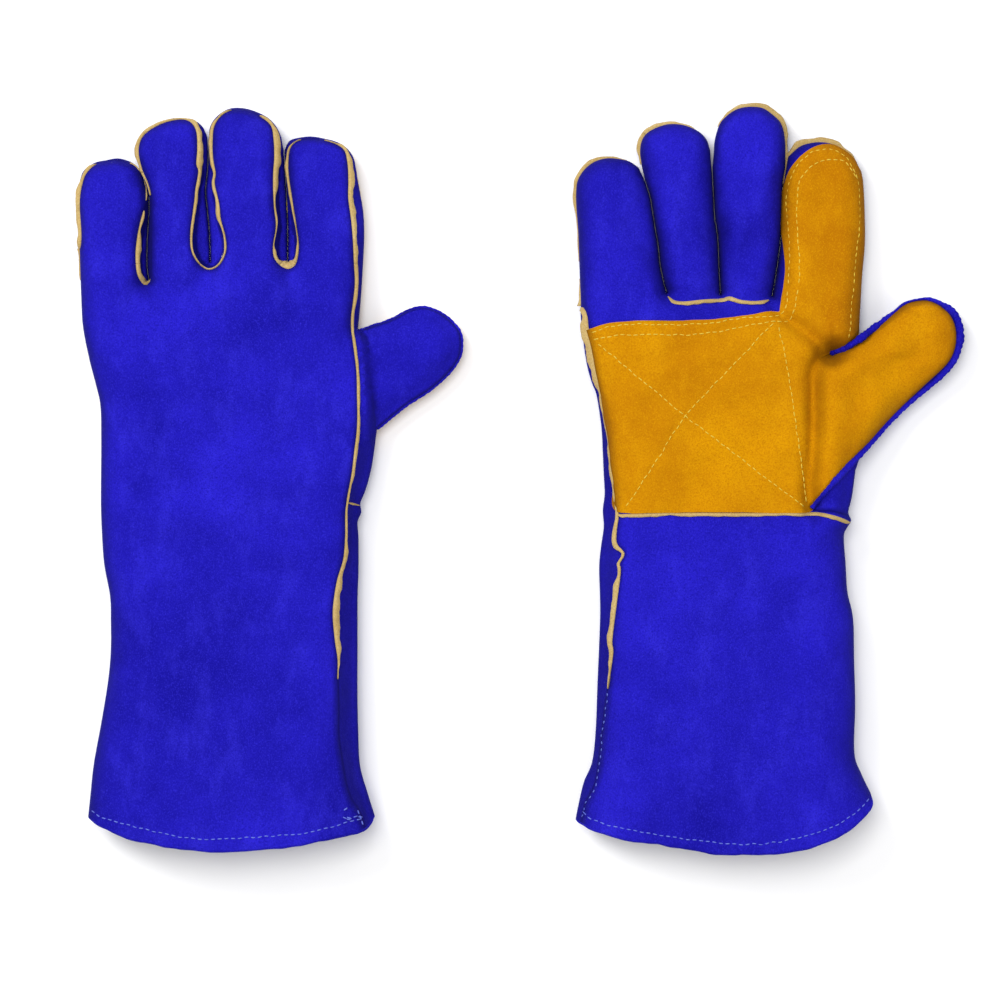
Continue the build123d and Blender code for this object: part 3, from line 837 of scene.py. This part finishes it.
# How far the welt stands out: a place on the seam, then the width there
LEFT["welt_widths"] = [
    (-73, 60, 0), (-62, 120, 0), (-66, 200, 0), (-72, 265, 0), (-78, 304, 0), (-78, 318, 0.8),
    (-78, 336, 2), (-77, 355, 2.4), (-74, 369, 1.6), (-66, 375, 0.1), (-55, 375, 0), (-46, 370, 0.3),
    (-43, 358, 0.5), (-44, 344, 1.2), (-46, 330, 2.2), (-46, 318, 2.4), (-43, 308, 2.4), (-38.5, 312, 0),
    (-38.6, 320, 0), (-38.7, 330, 0), (-38.9, 338, 0), (-39, 345, 0), (-39, 352, 0), (-40.2, 361, 0.7),
    (-44, 371, 1.6), (-46, 381, 2), (-42, 391, 1.5), (-32, 396.5, 1.2), (-22, 398.5, 0.8), (-15, 395, 2.2),
    (-13.2, 387, 3), (-13.2, 376, 2.8), (-13, 368, 1.5), (-15, 350, 1.5), (-16, 334, 1), (-14, 321, 0.6),
    (-7, 316, 0.7), (0, 321, 0.6), (1.5, 333, 0.9), (-1.5, 350, 1.7), (-4, 366, 1.3), (-5, 378, 1.6),
    (-5, 392, 1.6), (0, 401, 0.8), (8, 403.5, 0.1), (17, 402, 0.2), (25, 397, 1.4), (28, 389, 2.8),
    (29, 379, 3.4), (28.5, 366, 2.2), (29, 350, 0.8), (29, 332, 0.3), (30, 321, 1.6), (33, 317.5, 3.6),
    (38, 317, 3.8), (41.5, 323, 1.2), (41, 335, 0.4), (39, 349, 0.9), (36.5, 364, 1.5), (36.5, 379, 1),
    (41, 386.2, 0.3), (50, 387.6, 0.1), (60, 386, 0.4), (67, 381.5, 1.6), (69, 373, 2.9), (69.5, 360, 3.1),
    (71, 343, 2.4), (72.5, 325, 2), (73, 308, 1.7), (71, 287, 1.2), (74, 262, 1.2), (74.5, 240, 1.3),
    (73, 215, 1.5), (69, 191, 0.8), (68, 175, 0.9), (66, 153, 1.9), (62.8, 141, 2.8), (61.5, 131, 3.3),
    (62, 121, 3.2), (63, 111, 2.2), (63.8, 103, 1.2), (64, 96, 0.4), (64, 91, 0), (64.5, 80, 0),
    (66, 50, 0), (76, 20, 0),
]
RIGHT["welt_widths"] = [
    (-79, 20, 0), (-66, 60, 0), (-63, 82, 0), (-61.5, 93, 0.9), (-60, 107, 2), (-59, 124, 2.5),
    (-57, 141, 2.7), (-56, 152, 1.6), (-54.5, 160, 1.2), (-57.5, 168, 2.2), (-57, 180, 1.6),
    (-59, 199, 2.2), (-61, 215, 2), (-63, 232, 1.6), (-65, 246, 2), (-67, 257, 3.4), (-70, 270, 4.6),
    (-73, 283, 4.4), (-75.5, 294, 2.2), (-77, 302, 0.9), (-78, 312, 0.3), (-78, 340, 0.5), (-79, 358, 1.6),
    (-76.5, 370, 2), (-69, 375.8, 1.8), (-60, 377.6, 1), (-53, 377, 0.3), (-46, 373, 0), (-40, 355, 0),
    (-32, 315, 0), (-44, 376, 0.9), (-44, 385, 1.9), (-38, 393, 2), (-29, 396.5, 1.6), (-20, 396, 0.9),
    (-12, 392, 0.2), (-5, 375, 0), (-3, 345, 0), (-1, 315, 0), (-3.5, 390, 0), (0, 398.5, 0.6),
    (5, 403, 1.3), (13, 405.8, 2), (22, 405.3, 2.3), (29, 401.3, 2.5), (34, 393, 2.3), (35.3, 384, 1.2),
    (35, 374, 0.5), (33.5, 355, 0), (30, 315, 0), (37, 379.5, 1.8), (44, 384.5, 2.8), (52, 386.5, 2.9),
    (61, 385.5, 2.6), (69, 381, 1.5), (75, 372, 0.4), (77, 360, 0), (77, 340, 0), (76, 310, 0),
    (75, 285, 0), (70, 178, 0), (68, 165, 0), (70, 140, 0), (72, 110, 0), (73, 80, 0), (74, 50, 0),
    (80, 28, 0),
]


def width_at(g, points):
    """How far the welt stands out at each point, from the nearest stated widths."""
    anchors = np.array(g["welt_widths"], float)
    gap = ((points[:, None, :] - anchors[None, :, :2]) ** 2).sum(2)
    weight = 1 / (gap + 4.0) ** 2
    width = (weight * anchors[:, 2]).sum(1) / weight.sum(1)
    wander = 1 + 0.14 * unevenness(points, 11, 31) + 0.05 * unevenness(points, 4, 32)
    return width * np.clip(wander, 0.4, 1.6)


def height_at(g, points, lower=False):
    """Height of the glove's surface at each point; past the outline it is the folded edge's own height."""
    top, low, _ = glove_heights(g, points)
    out = ~inside(points, g["whole"])
    if out.any():
        edge = g["edge"]
        nearest = [int(((edge - p) ** 2).sum(1).argmin()) for p in points[out]]
        top[out], low[out], _ = glove_heights(g, edge[nearest])
    return low if lower else top


def welt_strip(g, path, outward, width, lower=False, at_rim=False, proud=0.0):
    """A flat strip along a seam: its inner edge is tucked in, and the rest lies on the next panel."""
    reaches = [np.full(len(path), -0.6), 0.0 * width, 0.55 * width, width]
    rises = (-1.7, -0.3, 0.45, 0.25)
    rim_rises = (0.3, 0.3, 0.1, -0.2)
    sign = -1.0 if lower else 1.0
    start = height_at(g, path, lower)
    wave = 0.3 * unevenness(path, 8, 41)
    upper_side, under_side = [], []
    for k in range(4):
        xy = path + outward * reaches[k][:, None]
        if at_rim:
            z = start + rim_rises[k]
        else:
            sagging = start * sign - 0.9 * np.maximum(reaches[k], 0)
            z = np.maximum(height_at(g, xy, lower) * sign, sagging) * sign
            z = z + sign * (rises[k] + (proud if k else 0))
        z = z + sign * wave * max(k - 1, 0) / 2
        rounded = 0.25 if k in (0, 3) else 0.0
        upper_side.append(np.column_stack([xy, z - sign * rounded]))
        under_side.append(np.column_stack([xy, z - sign * (WELT - rounded)]))
    rings = np.stack(upper_side + under_side[::-1], 1)
    return sweep(rings)


def runs(keep):
    """Start and end of each unbroken run of True, one step longer at its end so that neighbours meet."""
    edges = np.flatnonzero(np.diff(np.concatenate([[0], keep.astype(int), [0]])))
    return [(a, min(b + 1, len(keep))) for a, b in zip(edges[::2], edges[1::2]) if b - a > 2]


def outward_of(line, polygon):
    """Unit vectors across the line that point out of the polygon."""
    tangent = np.gradient(line, axis=0)
    side = np.stack([-tangent[:, 1], tangent[:, 0]], 1)
    side /= np.maximum(np.linalg.norm(side, axis=1, keepdims=True), 1e-9)
    if inside(line + 0.4 * side, polygon).mean() > 0.5:
        side = -side
    kernel = np.ones(5) / 5
    soft = np.stack([np.convolve(np.pad(side[:, k], 2, mode="edge"), kernel, "valid") for k in (0, 1)], 1)
    return soft / np.maximum(np.linalg.norm(soft, axis=1, keepdims=True), 1e-9)


for g in (LEFT, RIGHT):
    side = g["name"]
    welts = {d: [] for d in ("hand",) + DIGITS}
    seam = upper_seam(g)
    in_glove = inside(seam, g["whole"]) & (path_distance(seam, g["hem_line"]) > 1)
    sources = [
        (seam, outward_of(seam, seam), in_glove, False),
        (g["edge"], outward_of(g["edge"], g["whole"]), inside(g["edge"], seam), True),
    ]
    for line, outward, keep, at_rim in sources:
        width = width_at(g, line)
        body = finger_of(g, line)
        if g is RIGHT:
            # no welt round the thumb: it has its own piping
            x, y = line.T
            keep = keep & ~((x > np.where(y < 280, 50, 78)) & (y > WRIST) & (y < 302))
        for digit in welts:
            for a, b in runs(keep & (body == digit) & (width > 0.3)):
                welts[digit].append(welt_strip(g, line[a:b], outward[a:b], width[a:b], at_rim=at_rim))
    for digit, parts in welts.items():
        if digit == "thumb" or not parts:
            continue
        node = "seam_welts" if digit == "hand" else f"{digit}_welt"
        piece = strip_piece(f"{side}_{node}_leather", g, parts, beige)
        sew_on(piece, g, digit)
        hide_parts(f"{side}_{node}")

# ----------------------------------------------------------------------------------------------------------
# Cross welts.  The same strip crosses each palm side twice: at the wrist, between palm and cuff front, and
# under the ring and middle fingers, which are set in there.  The left wrist welt's end shows from above.
# ----------------------------------------------------------------------------------------------------------


def seam_line(points, side=1):
    """A smooth line through the points and the unit vectors across it, to its left (1) or right (-1)."""
    line = smooth_line(points, 1.0)
    tangent = np.gradient(line, axis=0)
    across = np.stack([-tangent[:, 1], tangent[:, 0]], 1) * side
    return line, across / np.maximum(np.linalg.norm(across, axis=1, keepdims=True), 1e-9)


LEFT["cross_welts"] = [
    ([(69.4, 188.7), (72, 188.4), (75.2, 187.2)], 1.4, False),
    ([(-60, 183), (-20, 182.4), (30, 183.2), (68, 183)], 2.3, True),
    ([(-29, 302), (-14, 299.2), (4, 300.4), (26, 300)], 1.9, True),
]
RIGHT["cross_welts"] = [
    ([(-57.5, 182.2), (-34, 183.2), (10, 183.2), (46.5, 183.4), (60, 181.6), (70.5, 177.8)], 1.9, False),
    ([(-29.5, 301.5), (-26, 298.8), (-20.5, 298.2), (-10.5, 299.2), (-0.5, 300), (4, 301), (10, 299),
      (17.5, 298.4), (25.5, 299.4)], 1.9, False),
]
for g in (LEFT, RIGHT):
    parts = []
    for points, width, lower in g["cross_welts"]:
        line, across = seam_line(points, -1)
        from_end = np.minimum(np.arange(len(line)), np.arange(len(line))[::-1])
        taper = np.minimum(1, from_end / 4 + 0.25)
        widths = width * taper * (1 + 0.12 * unevenness(line, 14, 51) + 0.05 * unevenness(line, 5, 52))
        parts.append(welt_strip(g, line, across, widths, lower=lower, proud=0.9))
    piece = strip_piece(f"{g['name']}_cross_welts_leather", g, parts, beige)
    sew_on(piece, g, "hand")
    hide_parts(f"{g['name']}_cross_welts")

# ----------------------------------------------------------------------------------------------------------
# Thumb piping.  The wing thumb's seam is bound with a narrow strip of blue suede, puckered by its stitches,
# which runs on down the thumb's root to the wrist.
# ----------------------------------------------------------------------------------------------------------


def piping_along(line, heights, radius, flat=0.8):
    """A lumpy round cord along a line, with the pucker of a sewn edge."""
    points = np.column_stack([line, heights])
    tangent = np.gradient(points, axis=0)
    tangent /= np.maximum(np.linalg.norm(tangent, axis=1, keepdims=True), 1e-9)
    across = np.cross(tangent, [0, 0, 1])
    across /= np.maximum(np.linalg.norm(across, axis=1, keepdims=True), 1e-9)
    rise = np.cross(across, tangent)
    steps = np.cumsum(np.concatenate([[0], np.linalg.norm(np.diff(points, axis=0), axis=1)]))
    pucker = radius * (1 + 0.1 * np.sin(steps * 2 * math.pi / 2.9) + 0.1 * unevenness(line, 5, 61))
    rings = []
    for k in range(len(points)):
        ring = []
        for a in np.linspace(0, 2 * math.pi, 10, endpoint=False):
            ring.append(points[k] + pucker[k] * (across[k] * math.cos(a) + flat * rise[k] * math.sin(a)))
        rings.append(ring)
    return sweep(rings)


# The seam, and the piping's radius at places along it
RIGHT["piping"] = [
    (60.5, 271.4), (63, 271.8), (68, 273.6), (74.5, 277.8), (80, 282), (87.5, 287.6), (94.5, 293.2),
    (100, 297.6), (107, 299.8), (113.5, 300), (121, 297), (127.5, 291.5), (130, 284), (129.8, 275.5),
    (126.3, 266), (117.5, 255.8), (104, 244.5), (91, 232), (80, 220), (66, 206), (56, 195.5),
    (48.5, 185.6),
]
RIGHT["piping_radius"] = [
    (60.5, 271, 2.2), (66, 273, 1.7), (80, 282, 2), (88, 288, 1.5), (96, 295, 0.7), (107, 300, 0.6),
    (116, 299.5, 1), (127, 292, 2), (130, 280, 2.3), (126, 266, 1.9), (110, 250, 1.4), (91, 232, 1.4),
    (70, 210, 1.7), (50, 187, 1.2),
]
LEFT["piping"] = [
    (76, 283.3), (80, 285), (92, 289), (100.5, 293.5), (106.5, 295.3), (112.5, 295.3), (120, 292.3),
    (126, 287.3), (129.8, 282.3), (130.8, 276.5), (130.2, 270), (127.3, 264.2), (121.3, 257.2),
    (112.3, 249.7), (101.3, 242.7), (92, 235.3), (85, 229.3),
]
LEFT["piping_radius"] = [(76, 283, 0.8), (106, 295, 0.9), (131, 276, 1), (101, 242, 1), (85, 229, 0.9)]
for g in (LEFT, RIGHT):
    line = smooth_line(g["piping"], 0.7)
    anchors = np.array(g["piping_radius"])
    weight = 1 / (((line[:, None] - anchors[None, :, :2]) ** 2).sum(2) + 9) ** 2
    radius = (weight * anchors[:, 2]).sum(1) / weight.sum(1)
    heights = height_at(g, line) + (0.8 if g is RIGHT else -1.0)
    if g is RIGHT:
        heights += 6 * (1 - ease(line[:, 0], 74, 92)) * ease(line[:, 1], 255, 265)
    past = line[:, 0] > g["thumb_blend"][0]
    on_thumb = [piping_along(line[a:b], heights[a:b], radius[a:b]) for a, b in runs(past)]
    on_hand = [piping_along(line[a:b], heights[a:b], radius[a:b]) for a, b in runs(~past)]
    piece = strip_piece(f"{g['name']}_thumb_piping_leather", g, on_thumb, blue)
    sew_on(piece, g, "thumb")
    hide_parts(f"{g['name']}_thumb_piping")
    if on_hand:
        piece = strip_piece(f"{g['name']}_thumb_root_piping", g, on_hand, blue)
        sew_on(piece, g, "hand")

# ----------------------------------------------------------------------------------------------------------
# Thread.  Yellow thread sews the second layer down, in two rows along its edges, a cross over the palm and a
# row beside the thumb; light blue thread sews the hem and the right side seam, and ends in a small tangle.
# ----------------------------------------------------------------------------------------------------------
SIDE_ROW = [(-77, 17), (-74.4, 25), (-69.7, 34), (-67, 48), (-65.8, 62), (-63.6, 76), (-62.6, 88.5)]
rng = np.random.default_rng(7)


def thread(name, colour, pale):
    m = bpy.data.materials.new(name)
    m.use_nodes = True
    shader = m.node_tree.nodes["Principled BSDF"]
    shader.inputs["Roughness"].default_value = 0.7
    shader.inputs["Specular IOR Level"].default_value = 0.1
    noise = m.node_tree.nodes.new("ShaderNodeTexNoise")
    noise.inputs["Scale"].default_value = 220
    mix = m.node_tree.nodes.new("ShaderNodeMix")
    mix.data_type = "RGBA"
    mix.inputs["A"].default_value = (*colour, 1)
    mix.inputs["B"].default_value = (*pale, 1)
    place = m.node_tree.nodes.new("ShaderNodeTexCoord")
    m.node_tree.links.new(place.outputs["Object"], noise.inputs["Vector"])
    m.node_tree.links.new(noise.outputs["Fac"], mix.inputs["Factor"])
    m.node_tree.links.new(mix.outputs["Result"], shader.inputs["Base Color"])
    return m


yellow_thread = thread("yellow thread", (0.56, 0.38, 0.025), (0.66, 0.49, 0.07))
blue_thread = thread("light blue thread", (0.05, 0.07, 0.48), (0.17, 0.22, 0.66))


def stitches(g, points, lift, length=2.9, gap=1.3, thick=0.42, lower=False, wobble=0.25):
    """Stitches along a line, each a short arched thread."""
    line = smooth_line(points, 0.25)
    line = line + np.column_stack([unevenness(line, 9, 71), unevenness(line, 9, 72)]) * wobble
    steps = np.cumsum(np.concatenate([[0], np.linalg.norm(np.diff(line, axis=0), axis=1)]))
    starts = np.arange(0.5, steps[-1] - length, length + gap)
    shares = (0, 0.18, 0.5, 0.82, 1.0)
    arch = np.array([-0.35, 0.12, 0.3, 0.12, -0.35])
    swell = np.array([0.6, 1.0, 1.1, 1.0, 0.6])
    at = (starts[:, None] + np.array(shares) * length).ravel()
    places = np.stack([np.interp(at, steps, line[:, 0]), np.interp(at, steps, line[:, 1])], 1)
    z = height_at(g, places, lower)
    slope_x = height_at(g, places + [0.4, 0], lower) - height_at(g, places - [0.4, 0], lower)
    slope_y = height_at(g, places + [0, 0.4], lower) - height_at(g, places - [0, 0.4], lower)
    steep = np.minimum(np.sqrt(1 + (slope_x ** 2 + slope_y ** 2) / 0.64), 3.5)
    sign = -1.0 if lower else 1.0
    parts = []
    for k in range(0, len(places), len(shares)):
        own = slice(k, k + len(shares))
        p = np.column_stack([places[own], z[own]])
        p[:, 2] += sign * (lift * steep[own] + arch)
        tangent = p[-1] - p[0]
        tangent /= max(np.linalg.norm(tangent), 1e-9)
        across = np.cross(tangent, [0, 0, 1])
        across /= max(np.linalg.norm(across), 1e-9)
        rise = np.cross(across, tangent)
        size = thick * swell * rng.uniform(0.85, 1.15)
        rings = [
            [p[i] + size[i] * (across * math.cos(a) + 0.8 * rise * math.sin(a))
             for a in np.linspace(0, 2 * math.pi, 7, endpoint=False)]
            for i in range(len(shares))
        ]
        parts.append(sweep(rings))
    return parts


def cut_rows(rows, split):
    """Rows of stitches parted at the line between the hand and the index finger."""
    hand, index = [], []
    for row in rows:
        line = smooth_line(row, 0.5)
        above = line[:, 1] > split
        for a, b in runs(above):
            index.append([tuple(p) for p in line[a:b:6]] + [tuple(line[b - 1])])
        for a, b in runs(~above):
            hand.append([tuple(p) for p in line[a:b:6]] + [tuple(line[b - 1])])
    return hand, index


for g in (LEFT, RIGHT):
    hand_rows, index_rows = cut_rows(PATCH_ROWS, g["split"])
    for rows, digit in ((hand_rows, "hand"), (index_rows, "index")):
        parts = []
        for row in rows:
            parts += stitches(g, row, SHEET - 0.4, 2.9, 0.7, 0.27, lower=g is LEFT)
        piece = strip_piece(f"{g['name']}_{digit}_patch_thread", g, parts, yellow_thread)
        sew_on(piece, g, digit)
    parts = stitches(g, g["hem_row"], -0.3, 2.4, 1.2, 0.3)
    parts += stitches(g, g["hem_row"], -0.3, 2.4, 1.2, 0.3, lower=True)
    if g is LEFT:
        parts += stitches(g, [(77.6, 13.5), (76, 18), (73.6, 24)], 0.1, 2.2, 0.9, 0.4)
        for _ in range(7):
            x, y = rng.uniform(66, 76), rng.uniform(15, 22)
            parts += stitches(g, [(x, y), (x + 3.4, y + rng.uniform(-1.5, 2.5))], 0.25, 2.2, 0.6, 0.33)
    else:
        parts += stitches(g, SIDE_ROW, -0.6, 1.6, 2.2, 0.28)
    piece = strip_piece(f"{g['name']}_hem_thread", g, parts, blue_thread)
    sew_on(piece, g, "hand")

# ----------------------------------------------------------------------------------------------------------
# Studio.  A pale paper floor, an even white surround and three softboxes, with the camera straight above.
# ----------------------------------------------------------------------------------------------------------
floor_mesh = bpy.data.meshes.new("floor")
floor_mesh.from_pydata([(-4, -4, 0), (4, -4, 0), (4, 4, 0), (-4, 4, 0)], [], [(0, 1, 2, 3)])
floor = bpy.data.objects.new("floor", floor_mesh)
bpy.context.scene.collection.objects.link(floor)
floor.location.z = -0.0005
paper = bpy.data.materials.new("pale floor")
paper.use_nodes = True
paper_shader = paper.node_tree.nodes["Principled BSDF"]
paper_shader.inputs["Base Color"].default_value = (0.92, 0.92, 0.92, 1)
paper_shader.inputs["Roughness"].default_value = 1.0
paper_shader.inputs["Specular IOR Level"].default_value = 0.0
floor_mesh.materials.append(paper)

world = bpy.data.worlds.new("studio")
bpy.context.scene.world = world
world.use_nodes = True
surround = world.node_tree.nodes["Background"]
surround.inputs["Color"].default_value = (1, 1, 1, 1)
surround.inputs["Strength"].default_value = 0.42


def softbox(name, place, size, power):
    light = bpy.data.lights.new(name, "AREA")
    light.size = size
    light.energy = power
    lamp = bpy.data.objects.new(name, light)
    bpy.context.scene.collection.objects.link(lamp)
    lamp.location = place
    lamp.rotation_euler = (-Vector(place)).to_track_quat("-Z", "Y").to_euler()
    return lamp


softbox("key softbox", (-1.0, 0.9, 1.5), 0.8, 21)
softbox("fill softbox", (1.2, -0.5, 1.7), 1.4, 8)
softbox("overhead softbox", (-0.2, 0.3, 2.3), 1.0, 34)

SENSOR = 36.0           # millimetres
CAMERA_HEIGHT = 2.2     # metres
GLOVE_TOP = 0.02        # the height whose width of view is given below
VIEW_WIDTH = 0.5464
camera_data = bpy.data.cameras.new("camera")
camera = bpy.data.objects.new("camera", camera_data)
bpy.context.scene.collection.objects.link(camera)
camera.location = (-0.0111, -0.0136, CAMERA_HEIGHT)
camera_data.lens = SENSOR * (CAMERA_HEIGHT - GLOVE_TOP) / VIEW_WIDTH
camera_data.clip_end = 20
bpy.context.scene.camera = camera
bpy.context.scene.view_settings.view_transform = "Standard"
